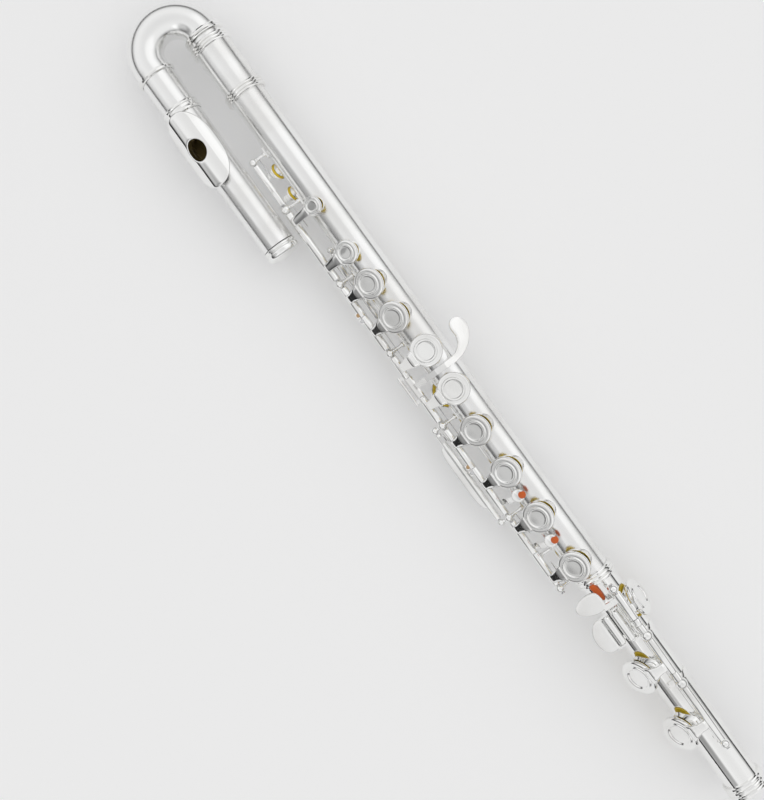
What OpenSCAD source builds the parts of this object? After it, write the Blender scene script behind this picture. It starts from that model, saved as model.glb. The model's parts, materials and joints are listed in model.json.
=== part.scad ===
// Concert flute with a curved head joint, offset G keys and a C foot, in millimetres.
// X runs along the main tube: the foot's open end is at 0 and the head is towards -X.
// +Z is up, -Y is the player's side. Every key is drawn as it stands with nobody playing.

/* [Tubes] */
// Bore radius of the body
bore_r = 9.5; // [9.3:0.05:9.6]
// Bore radius of the foot
foot_bore_r = 9.4; // [9.3:0.05:9.6]
// Outside radius of the body and foot
tube_r = 9.9; // [9.7:0.05:10.1]
// Distance from the tube axis to the rims of the tone holes
rim_r = 11.4; // [11.1:0.1:11.8]

/* [Head joint] */
// Radius of the U bend, centre line
bend_r = 16.85; // [16:0.05:18]
// Roll of the lip plate towards the player
lip_roll = 24; // [0:1:40]
// Length of the lip plate
lip_length = 45; // [42:0.5:48]

/* [Body keys] */
// Roll of the whole body key line towards the player
body_roll = 25; // [0:1:35]
// How far an open-standing key is lifted
key_lift = 8; // [6:0.5:9]
// Radius of a full-size key cup
cup_r = 8.9; // [8.5:0.1:9.2]
// Radius of a hinge tube
hinge_r = 2.2; // [1.9:0.05:2.3]
// Gap between a closed pad and its rim
pad_gap = 0.2; // [0.1:0.05:0.3]

/* [Foot keys] */
// Radius of the two low foot cups
foot_cup_r = 10.3; // [9.8:0.1:10.5]
// Radius of a foot roller
roller_r = 2.2; // [1.8:0.1:2.3]

/* [Hidden] */
$fn = 48;

// Angles are measured from the top of the key line towards the player.
leg_y = -2 * bend_r;
main_a = 60;
main_h = 19.5;
trill_a = 74;
trill_h = 19;
side_a = 65;
side_h = 24.3;
thumb_a = 105;
thumb_h = 16.5;
foot_a = -7.6;
foot_h = 18;
g_a = -17;
low_a = 61;
pad_t = 2.0;
foot_top = 145.4;
silver = [0.86, 0.86, 0.87];
steel = [0.70, 0.71, 0.73];
skin = [0.91, 0.79, 0.42];
cork = [0.78, 0.58, 0.38];

// Tone holes of the body: distance from the foot end, angle, hole radius
BODY_HOLES = [[154.9, 0, 7.1], [187.3, 0, 7.1], [216.5, 0, 7.1], [243.8, 0, 7.1],
  [268.5, g_a, 7.0], [293.3, g_a, 7.0], [317.6, 0, 6.9], [339.5, 0, 6.6], [359.9, 0, 4.6],
  [390.2, 0, 3.4], [405.1, 100, 3.4], [420.1, 100, 3.4], [268.5, 118, 6.5], [345, 152, 6.5]];
FOOT_HOLES = [[120.5, -low_a, 7.8], [85.8, low_a, 8.1], [48.8, low_a, 8.1]];
MAIN_POSTS = [147.5, 194.5, 255.5, 303.5, 349.5, 399];
TRILL_POSTS = [167, 255.5, 303.5, 349.5, 431];
FOOT_POSTS = [134.5, 34.5];
FOOT_SADDLES = [104.5, 73.5];

function polar(a, r) = [-r * sin(a), r * cos(a)];

// A cylinder along X between two distances from the foot end
module rod(d0, d1, r, p = [0, 0]) {
  translate([-d1, p[0], p[1]])
    rotate([0, 90, 0])
      cylinder(r = r, h = d1 - d0);
}

module pipe(d0, d1, ro, ri, p = [0, 0]) {
  difference() {
    rod(d0, d1, ro, p);
    rod(d0 - 1, d1 + 1, ri, p);
  }
}

// A turned ring: bands of [distance from start, radius] on a bore
module turned(d, profile, ri) {
  translate([-d, 0, 0])
    rotate([0, 90, 0])
      rotate_extrude()
        polygon(concat([[ri, 0]], [for (q = profile) [q[1], q[0]]],
          [[ri, profile[len(profile) - 1][0]]]));
}

// Three beads side by side
module beads(d, w, r, ri) {
  turned(d, [[0, r - 0.7], [w * 0.06, r - 0.2], [w * 0.16, r], [w * 0.26, r - 0.2],
    [w * 0.33, r - 0.8], [w * 0.39, r - 0.3], [w * 0.5, r - 0.1], [w * 0.61, r - 0.3],
    [w * 0.67, r - 0.8], [w * 0.74, r - 0.2], [w * 0.84, r], [w * 0.94, r - 0.2],
    [w, r - 0.7]], ri);
}

// A strip of sheet through points of the YZ plane, w wide along X
module ribbon(d, pts, w, t) {
  for (i = [0:len(pts) - 2]) {
    v = pts[i + 1] - pts[i];
    translate([-d, pts[i][0], pts[i][1]])
      rotate([atan2(v[1], v[0]), 0, 0])
        translate([-w / 2, 0, -t / 2])
          cube([w, norm(v), t]);
  }
  for (i = [1:len(pts) - 2])
    rod(d - w / 2 + 0.02, d + w / 2 - 0.02, t / 2 + 0.03, pts[i]);
}

// A straight rod between two points of the YZ plane
module spoke(d, p, q, r) {
  v = q - p;
  translate([-d, p[0], p[1]])
    rotate([atan2(v[1], v[0]) - 90, 0, 0])
      cylinder(r = r, h = norm(v));
}

module at(d, a, r = 0) {
  rotate([a, 0, 0])
    translate([-d, 0, r])
      children();
}

// Swings what is drawn closed about a hinge at p
module swing(p, a) {
  translate([0, p[0], p[1]])
    rotate([a, 0, 0])
      translate([0, -p[0], -p[1]])
        children();
}

// A plateau cup, with its pad face at zero
module cup(r) {
  rotate_extrude()
    polygon([[0, pad_t], [r - 0.45, pad_t], [r - 0.45, 1.0], [r - 0.1, 0.9], [r, 1.1],
      [r, 2.15], [r - 0.2, 2.5], [r - 0.6, 2.7], [r * 0.78, 2.9], [r * 0.72, 2.85],
      [r * 0.70, 3.3], [r * 0.67, 3.5], [r * 0.61, 3.5], [r * 0.57, 3.3], [r * 0.545, 2.9],
      [r * 0.5, 2.85], [0, 2.85]]);
}

module pad(r) {
  rotate_extrude()
    polygon([[0, 0.1], [r * 0.4, 0.1], [r * 0.45, 0], [r - 1.0, 0], [r - 0.75, 0.2],
      [r - 0.6, 0.7], [r - 0.5, pad_t], [0, pad_t]]);
}

// The arm from a cup at the top to a hinge at angle ha and radius hr
module arm(d, ha, hr, r) {
  s = sign(ha);
  h = polar(ha, hr);
  top = rim_r + pad_gap + 2.68;
  y0 = r * 0.76;
  y1 = abs(h[0]);
  difference() {
    intersection() {
      ribbon(d, [[-s * y0, top], [-s * (r + 0.9), top - 0.1],
        [h[0] + s * 1.3, max(h[1] + 2.3, min(h[1] + 3.4, top - 1))], h], 2 * r, 1.2);
      translate([-d, 0, -5])
        linear_extrude(30)
          polygon([[-r * 0.5, -s * y0], [r * 0.5, -s * y0], [2.4, -s * (y1 - 3)],
            [2.3, -s * (y1 + 3)], [-2.3, -s * (y1 + 3)], [-2.4, -s * (y1 - 3)]]);
    }
    rod(d - 15, d + 15, hinge_r - 0.4, h);
  }
}

// A cup with its arm, drawn closed, in the frame of the key line
module cup_and_arm(d, ca, r, ha, hr) {
  rotate([ca, 0, 0]) {
    translate([-d, 0, rim_r + pad_gap])
      cup(r);
    arm(d, ha - ca, hr, r);
  }
}

module pad_at(d, ca, r) {
  at(d, ca, rim_r + pad_gap)
    pad(r);
}

module on_body() {
  rotate([body_roll, 0, 0])
    children();
}

// A tube with drawn tone holes
module drilled(d0, d1, ro, ri, holes) {
  difference() {
    union() {
      rod(d0, d1, ro);
      for (h = holes)
        at(h[0], h[1])
          cylinder(r = h[2] + 0.4, h = rim_r);
    }
    rod(d0 - 1, d1 + 1, ri);
    for (h = holes)
      at(h[0], h[1])
        cylinder(r = h[2], h = rim_r + 1);
  }
}

// ---- Head joint

module u_bend() {
  color(silver)
    translate([-503, -bend_r, 0])
      rotate([0, 0, 90])
        rotate_extrude(angle = 180)
          translate([bend_r, 0])
            difference() {
              circle(r = 9.75);
              circle(r = 9.35);
            }
}

module head_tenon() {
  color(silver)
    pipe(470, 503, tube_r, 9.4);
}

module bend_rings() {
  color(silver)
    turned(503, [[0, 10.4], [0.3, 11.3], [0.9, 11.7], [1.5, 11.3], [1.8, 10.9], [2.1, 11.3],
      [2.8, 11.7], [3.4, 11.4], [3.8, 10.5]], tube_r);
}

module leg_hole(h) {
  translate([-450.2, 0, 0])
    linear_extrude(h)
      scale([6.2, 5.2])
        circle(r = 1);
}

module in_leg() {
  translate([0, leg_y, 0])
    rotate([lip_roll, 0, 0])
      children();
}

module head_tube() {
  color(silver)
    in_leg()
      difference() {
        translate([-503, 0, 0])
          rotate([0, 90, 0])
            cylinder(r1 = 9.75, r2 = 9.2, h = 117);
        translate([-503.1, 0, 0])
          rotate([0, 90, 0])
            cylinder(r1 = 9.35, r2 = 8.8, h = 117.2);
        leg_hole(12);
      }
}

module head_rings() {
  color(silver)
    translate([0, leg_y, 0]) {
      turned(499.6, [[0, 10.2], [0.3, 10.9], [1.3, 11.1], [2.3, 10.9], [2.8, 10.2]], 9.8);
      turned(477.5, [[0, 10.0], [0.3, 10.6], [1.0, 10.9], [1.7, 10.6], [2.1, 10.1], [3.4, 10.1],
        [3.8, 10.6], [4.6, 10.9], [5.4, 10.6], [5.9, 10.0]], 9.75);
    }
}

module riser() {
  color(silver)
    in_leg()
      difference() {
        translate([-450.2, 0, 8])
          linear_extrude(6)
            difference() {
              scale([7.2, 6.2])
                circle(r = 1);
              scale([6.2, 5.2])
                circle(r = 1);
            }
        rod(430, 470, 9.52);
        difference() {
          rod(430, 470, 20, [0, 1.3]);
          rod(429, 471, 12.1, [0, 1.3]);
        }
      }
}

module lip_plate() {
  color(silver)
    in_leg()
      difference() {
        intersection() {
          pipe(420, 480, 12.9, 12.1, [0, 1.3]);
          translate([-450.2, 0, 0])
            linear_extrude(20)
              scale([lip_length / 2, 11.7])
                circle(r = 1, $fn = 72);
        }
        leg_hole(20);
      }
}

module crown() {
  color(silver)
    translate([-388.2, leg_y, 0])
      rotate([0, 90, 0])
        rotate_extrude()
          polygon([[0, -4], [8.2, -4], [8.2, 2.4], [9.3, 2.4], [9.75, 2.8], [9.75, 4.0],
            [9.35, 4.3], [9.35, 4.8], [9.75, 5.1], [9.7, 7.2], [9.2, 8.3], [8.0, 9.2],
            [6.0, 9.9], [3.0, 10.2], [0, 10.3]]);
}

module crown_screw() {
  color(steel)
    translate([0, leg_y, 0])
      rod(392.2, 428.5, 1.5);
}

module stopper_cork() {
  color(cork)
    translate([0, leg_y, 0])
      difference() {
        rod(418, 431.9, 8.83);
        rod(417, 430.4, 1.56);
      }
}

module stopper_plates() {
  color(steel)
    translate([0, leg_y, 0]) {
      rod(431.9, 432.9, 8.7);
      pipe(417, 418, 8.7, 1.56);
      pipe(415.2, 417, 3.0, 1.56);
    }
}

// ---- Body

module barrel() {
  color(silver) {
    pipe(466, 497.2, 10.7, 9.95);
    pipe(461, 466, 10.7, tube_r);
  }
}

module barrel_rings() {
  color(silver) {
    beads(497.2, 5, 12.0, 10.7);
    beads(466, 5, 12.0, 10.7);
  }
}

module body_tube() {
  color(silver)
    on_body()
      drilled(130, 466, tube_r, bore_r, BODY_HOLES);
}

module rib(d0, d1, a, half, ro) {
  rotate([a, 0, 0])
    intersection() {
      pipe(d0, d1, ro, tube_r);
      translate([-d1 - 1, -half, 0])
        cube([d1 - d0 + 2, 2 * half, 20]);
    }
}

module body_ribs() {
  color(silver)
    on_body() {
      rib(146, 262, main_a, 1.6, 10.7);
      rib(297, 352, main_a, 1.6, 10.7);
      rib(395.5, 402.5, main_a, 1.6, 10.7);
      rib(428, 434, trill_a, 1.6, 10.7);
      rib(318, 324, thumb_a, 1.6, 10.7);
      rib(366, 372, thumb_a, 1.6, 10.7);
    }
}

// A turned post with a ball at its tip
module post(d, a, h, r0, ball, base) {
  difference() {
    rotate([a, 0, 0])
      translate([-d, 0, 0])
        rotate_extrude()
          polygon([[0, r0 - 1.5], [base, r0 - 1.5], [base, r0 + 0.8], [1.0, r0 + 1.8],
            [1.0, h - 3.2], [1.5, h - 2.6], [1.5, h - 2.0], [0, h - 1.6]]);
    rod(d - 8, d + 8, r0);
  }
  translate([-d, polar(a, h)[0], polar(a, h)[1]])
    sphere(r = ball);
}

module body_posts() {
  color(silver)
    on_body()
      difference() {
        union() {
          for (d = MAIN_POSTS)
            post(d, main_a, main_h, 10.7, 2.6, 1.6);
          for (d = TRILL_POSTS)
            difference() {
              post(d, trill_a, trill_h, d == 431 ? 10.7 : tube_r, 2.3, 1.5);
              if (d != 431)
                rib(d - 8, d + 8, main_a, 1.7, 10.8);
            }
          for (d = [194.5, 255.5]) {
            spoke(d, polar(main_a, main_h), polar(side_a, side_h), 1.1);
            translate([-d, polar(side_a, side_h)[0], polar(side_a, side_h)[1]])
              sphere(r = 2.1);
          }
          for (d = [321, 369])
            post(d, thumb_a, thumb_h, 10.7, 2.3, 1.5);
        }
        rod(140, 410, 0.8, polar(main_a, main_h));
        rod(250, 360, 1.6, polar(trill_a, trill_h));
        rod(160, 438, 0.8, polar(trill_a, trill_h));
        rod(190, 260, 0.7, polar(side_a, side_h));
        rod(315, 375, 0.7, polar(thumb_a, thumb_h));
      }
}

module body_steels() {
  color(steel)
    on_body() {
      rod(145, 255.4, 0.8, polar(main_a, main_h));
      rod(255.6, 401.5, 0.8, polar(main_a, main_h));
      rod(192.6, 257.4, 0.7, polar(side_a, side_h));
      rod(319, 371, 0.7, polar(thumb_a, thumb_h));
    }
}

module pivot_screws() {
  color(steel)
    on_body() {
      rod(165.2, 168.4, 0.8, polar(trill_a, trill_h));
      rod(168.4, 169.8, 0.5, polar(trill_a, trill_h));
      rod(428.2, 429.6, 0.5, polar(trill_a, trill_h));
      rod(429.6, 432.8, 0.8, polar(trill_a, trill_h));
    }
}

// Needle springs: start, end, angle, radius
SPRINGS = [[147.9, 162, 60, 15.2], [181, 194.1, 60, 15.2], [241, 255.1, 60, 15.2],
  [255.9, 268, 60, 15.2], [291, 303.1, 60, 15.2], [303.9, 318, 60, 15.2], [336, 349.1, 60, 15.2],
  [349.9, 363, 60, 15.2], [385, 398.6, 60, 15.2], [418, 430.6, 74, 15.2], [356, 368.6, 105, 13.8]];

module body_springs() {
  color(steel)
    on_body()
      for (s = SPRINGS)
        rod(s[0], s[1], 0.25, polar(s[2], s[3]));
}

// A key whose cup stands open on the main hinge line
module main_key(d, ca, r) {
  on_body()
    swing(polar(main_a, main_h), key_lift)
      cup_and_arm(d, ca, r, main_a, main_h);
}

module main_pad(d, ca, r) {
  on_body()
    swing(polar(main_a, main_h), key_lift)
      pad_at(d, ca, r);
}

module main_tube(d0, d1) {
  on_body()
    pipe(d0, d1, hinge_r, 0.86, polar(main_a, main_h));
}

module kicker(d, w) {
  on_body()
    difference() {
      ribbon(d, [polar(main_a, main_h), polar(main_a - 2, main_h + 3.4)], w, 1.4);
      rod(d - 9, d + 9, hinge_r - 0.4, polar(main_a, main_h));
    }
}

module c_key() {
  color(silver) {
    main_key(359.9, 0, 6.9);
    main_key(390.2, 0, 5.2);
    main_tube(352.4, 396.1);
  }
}

module c_pads() {
  color(skin) {
    main_pad(359.9, 0, 6.9);
    main_pad(390.2, 0, 5.2);
  }
}

module bflat_key() {
  color(silver) {
    main_key(339.5, 0, 8.6);
    main_tube(328.2, 346.6);
    kicker(330, 2.6);
  }
}

module bflat_pad() {
  color(skin)
    main_pad(339.5, 0, 8.6);
}

module a_key() {
  color(silver) {
    main_key(317.6, 0, cup_r);
    main_tube(306.4, 327.8);
    kicker(326.2, 2.6);
  }
}

module a_pad() {
  color(skin)
    main_pad(317.6, 0, cup_r);
}

module g_keys() {
  color(silver) {
    main_key(268.5, g_a, cup_r);
    main_key(293.3, g_a, cup_r);
    main_tube(258.4, 274.6);
    main_tube(287.4, 300.6);
    on_body() {
      rod(272, 290, 0.9, polar(main_a, main_h + 4.4));
      for (d = [273.4, 288.6])
        difference() {
          ribbon(d, [polar(main_a, main_h), polar(main_a, main_h + 4.6)], 2.0, 1.6);
          rod(d - 3, d + 3, hinge_r - 0.4, polar(main_a, main_h));
        }
    }
  }
}

module g_pads() {
  color(skin) {
    main_pad(268.5, g_a, cup_r);
    main_pad(293.3, g_a, cup_r);
  }
}

module gsharp_key() {
  color(silver) {
    main_tube(275.0, 287.0);
    on_body() {
      at(268.5, 118, rim_r + pad_gap)
        cup(8.4);
      difference() {
        union() {
          ribbon(281, [polar(main_a, main_h), [-12.8, 6.2], [-14.6, -1.5], [-13.4, -6.6]], 3.2, 1.3);
          ribbon(281, [polar(main_a, main_h), [-13.4, 14.4], [-6, 17.4], [2.0, 17.9], [7.2, 16.0],
            [12.2, 10.6]], 3.2, 1.3);
        }
        rod(275, 287, hinge_r - 0.4, polar(main_a, main_h));
      }
      at(0, 118, rim_r + pad_gap + 2.3)
        translate([-281.5, -1.5, 0])
          cube([6.5, 3.0, 1.0]);
    }
    // the spatula lies outside the tube on the far side and points at the head
    translate([0, 6.0, 14.6])
      rotate([-18, 0, 0])
        translate([0, 0, -0.75])
          linear_extrude(1.5)
            polygon([[-279.4, -0.8], [-282.6, -0.8], [-283.4, 2.4], [-284.8, 4.8], [-287.0, 7.0],
              [-290.5, 8.4], [-294.0, 8.2], [-296.8, 8.8], [-298.6, 10.4], [-299.2, 13.0],
              [-298.0, 15.8], [-295.6, 17.1], [-292.4, 17.4], [-289.6, 16.6], [-286.6, 14.6],
              [-283.2, 11.2], [-280.6, 6.4], [-279.6, 2.6]]);
  }
}

module gsharp_pad() {
  color(skin)
    on_body()
      pad_at(268.5, 118, 8.4);
}

module fsharp_key() {
  color(silver) {
    main_key(243.8, 0, cup_r);
    main_tube(227.6, 252.6);
    kicker(229.4, 2.6);
  }
}

module fsharp_pad() {
  color(skin)
    main_pad(243.8, 0, cup_r);
}

module f_key() {
  color(silver) {
    main_key(216.5, 0, cup_r);
    main_tube(197.4, 227.2);
    kicker(225.6, 2.6);
  }
}

module f_pad() {
  color(skin)
    main_pad(216.5, 0, cup_r);
}

module e_key() {
  color(silver) {
    main_key(187.3, 0, cup_r);
    main_tube(171.2, 191.6);
  }
}

module e_pad() {
  color(skin)
    main_pad(187.3, 0, cup_r);
}

module d_key() {
  color(silver) {
    main_key(154.9, 0, cup_r);
    main_tube(150.4, 170.8);
  }
}

module d_pad() {
  color(skin)
    main_pad(154.9, 0, cup_r);
}

// The touch of a trill key, between two cups of the main line
module trill_touch(d) {
  difference() {
    ribbon(d, [polar(trill_a, trill_h), [-13.2, 7.0], [-10.8, 12.0], [-6.4, 15.4], [-3, 15.9]],
      3.0, 1.3);
    rod(d - 5, d + 5, 1.3, polar(trill_a, trill_h));
  }
  translate([-d, -2.6, 15.4])
    rotate([-4, 0, 0])
      linear_extrude(1.2) {
        circle(r = 3.5);
        translate([-1.5, -4])
          square([3, 4]);
      }
}

// A trill cup with its short arm
module trill_cup(d) {
  at(d, 100, rim_r + pad_gap)
    cup(5.0);
  difference() {
    ribbon(d, [polar(trill_a, trill_h), polar(85, 16.4), polar(92, 14.3)], 3.0, 1.2);
    rod(d - 5, d + 5, 0.9, polar(trill_a, trill_h));
  }
}

module trill_d_key() {
  color(silver)
    on_body()
      difference() {
        union() {
          rod(199.5, 411.0, 1.5, polar(trill_a, trill_h));
          trill_touch(202.7);
          trill_cup(405.1);
        }
        rod(190, 415, 1.07, polar(trill_a, trill_h));
      }
}

module trill_d_pad() {
  color(skin)
    on_body()
      pad_at(405.1, 100, 5.0);
}

module trill_dsharp_key() {
  color(silver)
    on_body()
      difference() {
        union() {
          rod(169.6, 428.4, 1.0, polar(trill_a, trill_h));
          rod(169.6, 199.1, 1.5, polar(trill_a, trill_h));
          rod(411.4, 428.4, 1.5, polar(trill_a, trill_h));
          trill_touch(173.3);
          trill_cup(420.1);
        }
        rod(160, 170.2, 0.56, polar(trill_a, trill_h));
        rod(427.8, 440, 0.56, polar(trill_a, trill_h));
      }
}

module trill_dsharp_pad() {
  color(skin)
    on_body()
      pad_at(420.1, 100, 5.0);
}

module side_bflat_lever() {
  color(silver)
    on_body() {
      pipe(197.0, 253.0, 1.7, 0.76, polar(side_a, side_h));
      translate([0, polar(side_a, side_h)[0], polar(side_a, side_h)[1]])
        difference() {
          union() {
            translate([-246, -7.0, 1.0])
              rotate([-12, 0, 0])
                linear_extrude(1.3)
                  polygon([[0, 6.6], [0.6, 4.8], [3, 3.2], [8, 2.6], [32, 2.6], [38, 3.4],
                    [40.5, 5.0], [40.8, 6.6], [38, 7.4], [2, 7.4]]);
            translate([-251.5, 0, 1.2])
              cube([4, 3.0, 1.2]);
          }
          rod(190, 260, 1.3);
        }
    }
}

module thumb_b_key() {
  color(silver)
    on_body() {
      pipe(336.4, 366.6, 2.0, 0.76, polar(thumb_a, thumb_h));
      swing(polar(thumb_a, thumb_h), -key_lift) {
        rotate([152, 0, 0]) {
          translate([-345, 0, rim_r + pad_gap])
            cup(8.4);
          arm(345, thumb_a - 152, thumb_h, 8.4);
          translate([-352, -3.6, rim_r + pad_gap + 2.8])
            rotate([-8, 0, 0])
              linear_extrude(1.3) {
                translate([-6.5, -3])
                  square([9, 8]);
                translate([-6.5, 1])
                  circle(r = 4);
              }
        }
      }
    }
}

module thumb_b_pad() {
  color(skin)
    on_body()
      swing(polar(thumb_a, thumb_h), -key_lift)
        pad_at(345, 152, 8.4);
}

module thumb_bflat_key() {
  color(silver)
    on_body() {
      pipe(323.4, 336.0, 2.0, 0.76, polar(thumb_a, thumb_h));
      rotate([152, 0, 0])
        difference() {
          union() {
            ribbon(329, [polar(thumb_a - 152, thumb_h), [8.2, 14.9], [3, 15.2]], 3.4, 1.3);
            translate([-329, 0.2, 14.6])
              linear_extrude(1.3) {
                translate([-4.6, -1])
                  square([9.2, 5]);
                translate([0, -1])
                  circle(r = 4.6);
              }
          }
          rod(320, 340, 1.6, polar(thumb_a - 152, thumb_h));
        }
    }
}

// ---- Foot joint

module foot_tube() {
  color(silver)
    difference() {
      union() {
        drilled(0, 129.4, tube_r, foot_bore_r, FOOT_HOLES);
        difference() {
          rod(129, foot_top, 10.35);
          rod(128, foot_top + 1, foot_bore_r);
        }
      }
      rod(129.4, foot_top + 1, 9.95);
    }
}

module foot_rings() {
  color(silver) {
    beads(foot_top, 6.2, 11.8, 10.35);
    beads(8, 8, 11.6, tube_r);
  }
}

module foot_posts() {
  color(silver)
    difference() {
      union() {
        intersection() {
          pipe(31, 107.8, 10.7, tube_r);
          union() {
            rotate([foot_a, 0, 0])
              translate([-110, -1.4, 0])
                cube([82, 2.8, 20]);
            for (d = FOOT_SADDLES)
              rotate([-30, 0, 0])
                translate([-d - 1.6, -8, 0])
                  cube([3.2, 16, 20]);
          }
        }
        post(134.5, foot_a, foot_h, 10.35, 2.5, 1.4);
        post(34.5, foot_a, foot_h, 10.7, 2.5, 1.4);
        for (d = FOOT_SADDLES)
          difference() {
            post(d, foot_a, foot_h, 10.7, 3.3, 1.4);
            rod(d - 5, d + 5, hinge_r + 0.1, polar(foot_a, foot_h));
          }
      }
      rod(30, 140, 0.7, polar(foot_a, foot_h));
    }
}

module foot_steel() {
  color(steel)
    rod(32.4, 136.6, 0.7, polar(foot_a, foot_h));
}

module foot_springs() {
  color(steel) {
    rod(124, 134.1, 0.25, polar(foot_a, 14.2));
    rod(86, 104.1, 0.25, polar(foot_a, 13.8));
    rod(34.9, 50, 0.25, polar(foot_a, 13.8));
  }
}

module foot_dsharp_key() {
  color(silver) {
    pipe(115.4, 131.6, hinge_r, 0.76, polar(foot_a, foot_h));
    cup_and_arm(120.5, -low_a, 10.4, foot_a, foot_h);
    difference() {
      ribbon(128.8, [polar(foot_a, foot_h), [-2.5, 18.2], [-7.5, 17.2]], 3.0, 1.3);
      rod(120, 140, hinge_r - 0.4, polar(foot_a, foot_h));
    }
    translate([-140, -6.6, 17.0])
      rotate([7, 0, 0])
        translate([0, 0, -0.7])
          linear_extrude(1.4)
            polygon([[1.2, -1.0], [4.5, 0.8], [10.2, 0.8], [11.6, -2.0], [11.4, -6.0],
              [9.6, -10.0], [6.8, -13.2], [3.8, -13.6], [1.4, -11.0], [0.2, -6.0]]);
  }
}

module foot_dsharp_pad() {
  color(skin)
    pad_at(120.5, -low_a, 10.4);
}

module foot_csharp_key() {
  color(silver) {
    pipe(81.0, 111.0, hinge_r, 1.27, polar(foot_a, foot_h));
    swing(polar(foot_a, foot_h), -key_lift)
      cup_and_arm(85.8, low_a, foot_cup_r, foot_a, foot_h);
    difference() {
      ribbon(109.5, [polar(foot_a, foot_h), [1.0, 12.9], [-10.5, 12.9], [-13.2, 15.0]], 2.4, 1.2);
      rod(100, 120, hinge_r - 0.4, polar(foot_a, foot_h));
    }
    translate([-125.2, -12.5, 15.4])
      rotate([10, 0, 0])
        translate([0, 0, -0.7])
          linear_extrude(1.4)
            polygon([[0, 0], [18.4, 0], [18.2, -4.6], [15.6, -7.6], [11.0, -8.8], [6.0, -8.4],
              [2.0, -6.0], [0, -3.0]]);
    for (d = [126.2, 107.6])
      translate([-d, -13.4, 14.6])
        cube([1.0, 4.6, 3.0]);
    rod(106.8, 126.0, 0.55, [-9.9, 16.4]);
  }
}

module foot_csharp_pad() {
  color(skin)
    swing(polar(foot_a, foot_h), -key_lift)
      pad_at(85.8, low_a, foot_cup_r);
}

module foot_c_key() {
  color(silver) {
    difference() {
      union() {
        rod(37.4, 80.6, hinge_r, polar(foot_a, foot_h));
        rod(80, 112, 1.2, polar(foot_a, foot_h));
        rod(111.4, 115.0, hinge_r, polar(foot_a, foot_h));
        ribbon(113.2, [polar(foot_a, foot_h), [-1.3, 15.3]], 2.6, 1.2);
      }
      rod(30, 120, 0.76, polar(foot_a, foot_h));
    }
    swing(polar(foot_a, foot_h), -key_lift)
      cup_and_arm(48.8, low_a, foot_cup_r, foot_a, foot_h);
    rod(106.0, 126.0, 0.6, [-1.3, 15.3]);
    for (d = [126.0, 106.9])
      ribbon(d - 0.45, [[-1.3, 15.3], [-4.8, 17.3]], 0.9, 1.8);
    rod(106.2, 125.8, 0.55, [-4.8, 17.3]);
  }
}

module foot_c_pad() {
  color(skin)
    swing(polar(foot_a, foot_h), -key_lift)
      pad_at(48.8, low_a, foot_cup_r);
}

module roller(d0, d1, p) {
  translate([-d1, p[0], p[1]])
    rotate([0, 90, 0])
      rotate_extrude()
        polygon([[0.6, 0], [roller_r - 0.5, 0], [roller_r - 0.1, 0.5], [roller_r, 1.2],
          [roller_r, d1 - d0 - 1.2], [roller_r - 0.1, d1 - d0 - 0.5],
          [roller_r - 0.5, d1 - d0], [0.6, d1 - d0]]);
}

module roller_csharp() {
  color(silver)
    roller(107.9, 124.9, [-9.9, 16.4]);
}

module roller_c() {
  color(silver)
    roller(107.2, 124.8, [-4.8, 17.3]);
}

u_bend();
head_tenon();
bend_rings();
head_tube();
head_rings();
riser();
lip_plate();
crown();
crown_screw();
stopper_cork();
stopper_plates();
barrel();
barrel_rings();
body_tube();
body_ribs();
body_posts();
body_steels();
body_springs();
pivot_screws();
c_key();
c_pads();
bflat_key();
bflat_pad();
a_key();
a_pad();
g_keys();
g_pads();
gsharp_key();
gsharp_pad();
fsharp_key();
fsharp_pad();
f_key();
f_pad();
e_key();
e_pad();
d_key();
d_pad();
trill_d_key();
trill_d_pad();
trill_dsharp_key();
trill_dsharp_pad();
side_bflat_lever();
thumb_b_key();
thumb_b_pad();
thumb_bflat_key();
foot_tube();
foot_rings();
foot_posts();
foot_steel();
foot_springs();
foot_dsharp_key();
foot_dsharp_pad();
foot_csharp_key();
foot_csharp_pad();
foot_c_key();
foot_c_pad();
roller_csharp();
roller_c();
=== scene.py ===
import json
import math

import bmesh
import bpy
from mathutils import Matrix, Vector


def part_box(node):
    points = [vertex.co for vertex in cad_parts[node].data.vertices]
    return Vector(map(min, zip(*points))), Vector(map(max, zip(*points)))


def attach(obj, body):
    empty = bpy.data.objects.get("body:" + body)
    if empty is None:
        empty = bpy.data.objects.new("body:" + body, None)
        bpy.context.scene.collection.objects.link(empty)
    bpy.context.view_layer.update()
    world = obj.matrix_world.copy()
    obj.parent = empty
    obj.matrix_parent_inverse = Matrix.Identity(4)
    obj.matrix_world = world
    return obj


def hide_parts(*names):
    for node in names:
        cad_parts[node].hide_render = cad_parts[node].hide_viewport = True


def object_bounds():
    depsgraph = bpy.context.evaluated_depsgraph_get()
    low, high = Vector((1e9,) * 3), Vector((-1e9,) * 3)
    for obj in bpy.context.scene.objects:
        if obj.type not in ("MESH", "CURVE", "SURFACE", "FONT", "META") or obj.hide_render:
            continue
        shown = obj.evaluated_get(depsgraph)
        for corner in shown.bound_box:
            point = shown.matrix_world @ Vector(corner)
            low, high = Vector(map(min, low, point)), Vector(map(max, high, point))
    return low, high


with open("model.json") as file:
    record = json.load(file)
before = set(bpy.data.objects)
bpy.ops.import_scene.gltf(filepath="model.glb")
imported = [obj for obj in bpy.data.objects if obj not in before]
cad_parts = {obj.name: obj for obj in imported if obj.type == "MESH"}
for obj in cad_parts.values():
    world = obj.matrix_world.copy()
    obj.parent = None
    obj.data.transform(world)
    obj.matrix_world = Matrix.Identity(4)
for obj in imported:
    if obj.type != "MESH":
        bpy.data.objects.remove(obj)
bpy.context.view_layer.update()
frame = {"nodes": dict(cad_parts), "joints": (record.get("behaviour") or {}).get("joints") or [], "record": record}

nodes = frame["nodes"]
mm = 0.001
print("frame loaded:", len(nodes), "nodes")

# finishes

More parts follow.
